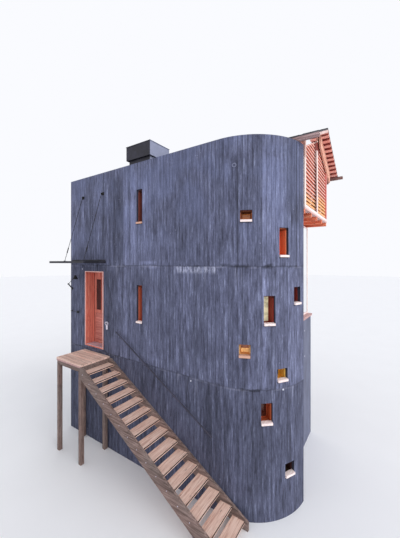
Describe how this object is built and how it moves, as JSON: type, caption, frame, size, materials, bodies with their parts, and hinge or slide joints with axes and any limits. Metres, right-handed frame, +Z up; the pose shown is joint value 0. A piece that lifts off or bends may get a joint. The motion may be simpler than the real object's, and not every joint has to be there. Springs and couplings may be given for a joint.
{
  "type": "alpine chalet",
  "caption": "Tall concrete mountain chalet with a rounded valley corner, small lined windows, a gabled slatted timber loggia, a canopied entrance door and an outside stair.",
  "frame": {"origin": "underside of the base slab, in the middle of the plan of the shell", "axes": "+Z up, +X along the flat front wall towards the valley, +Y into the house, away from the stair"},
  "size_m": [7.545, 5.7613, 8.9801],
  "materials": {
    "board_marked_concrete": "rough, dark blue-grey, marked by vertical form boards",
    "plain_concrete": "rough, grey",
    "larch": "red-orange stained, satin",
    "pale_larch": "planed, matt",
    "weathered_timber": "weathered, matt",
    "dark_metal": "matt",
    "grey_metal": "satin",
    "glazing": "clear"
  },
  "bodies": {
    "house": {"base_slab": "plain_concrete", "wall_low_front": "board_marked_concrete", "wall_low_corner_a": "board_marked_concrete", "wall_low_corner_b": "board_marked_concrete", "wall_mid_uphill": "board_marked_concrete", "wall_mid_lintel": "board_marked_concrete", "wall_mid_front": "board_marked_concrete", "wall_mid_corner_a": "board_marked_concrete", "wall_mid_corner_b": "board_marked_concrete", "wall_mid_corner_c": "board_marked_concrete", "wall_top_front": "board_marked_concrete", "wall_top_corner_a": "board_marked_concrete", "wall_top_corner_b": "board_marked_concrete", "uphill_wall": "board_marked_concrete", "far_wall": "board_marked_concrete", "uphill_floors": "plain_concrete", "valley_floor": "plain_concrete", "valley_base": "plain_concrete", "valley_ledge": "pale_larch", "valley_frame": "larch", "valley_glass": "glazing", "loggia_floor": "larch", "loggia_joists": "larch", "loggia_posts": "pale_larch", "loggia_rails": "pale_larch", "loggia_screen_near": "larch", "loggia_screen_far": "larch", "loggia_side": "larch", "flat_roof": "dark_metal", "roof_plates": "weathered_timber", "gable_infill": "larch", "gable_board": "larch", "gable_glass": "glazing", "rafters": "pale_larch", "barge_rafter": "pale_larch", "battens": "weathered_timber", "roof_deck_near": "dark_metal", "roof_deck_far": "dark_metal", "ridge_cap": "dark_metal", "eave_fascia": "weathered_timber", "eave_gutters": "weathered_timber", "vent_box": "dark_metal", "window_linings": "larch", "window_sills": "pale_larch", "window_glass": "glazing", "door_frame": "larch", "door_hinges": "grey_metal", "canopy": "dark_metal", "canopy_rods": "dark_metal", "landing_deck": "pale_larch", "landing_frame": "weathered_timber", "stair_treads": "pale_larch", "stair_strings": "weathered_timber", "handrail": "dark_metal", "wall_lamp": "dark_metal", "wall_hook": "dark_metal", "bell_box": "grey_metal"},
    "door": {"door_leaf": "larch", "door_light": "glazing", "door_handle": "dark_metal"}
  },
  "joints": [
    {"name": "door_hinge", "type": "hinge", "parent": "house", "child": "door", "pos_m": [-2.699, -1.678, 0], "axis": [0, 0, 1], "range_deg": [0, 95]}
  ]
}
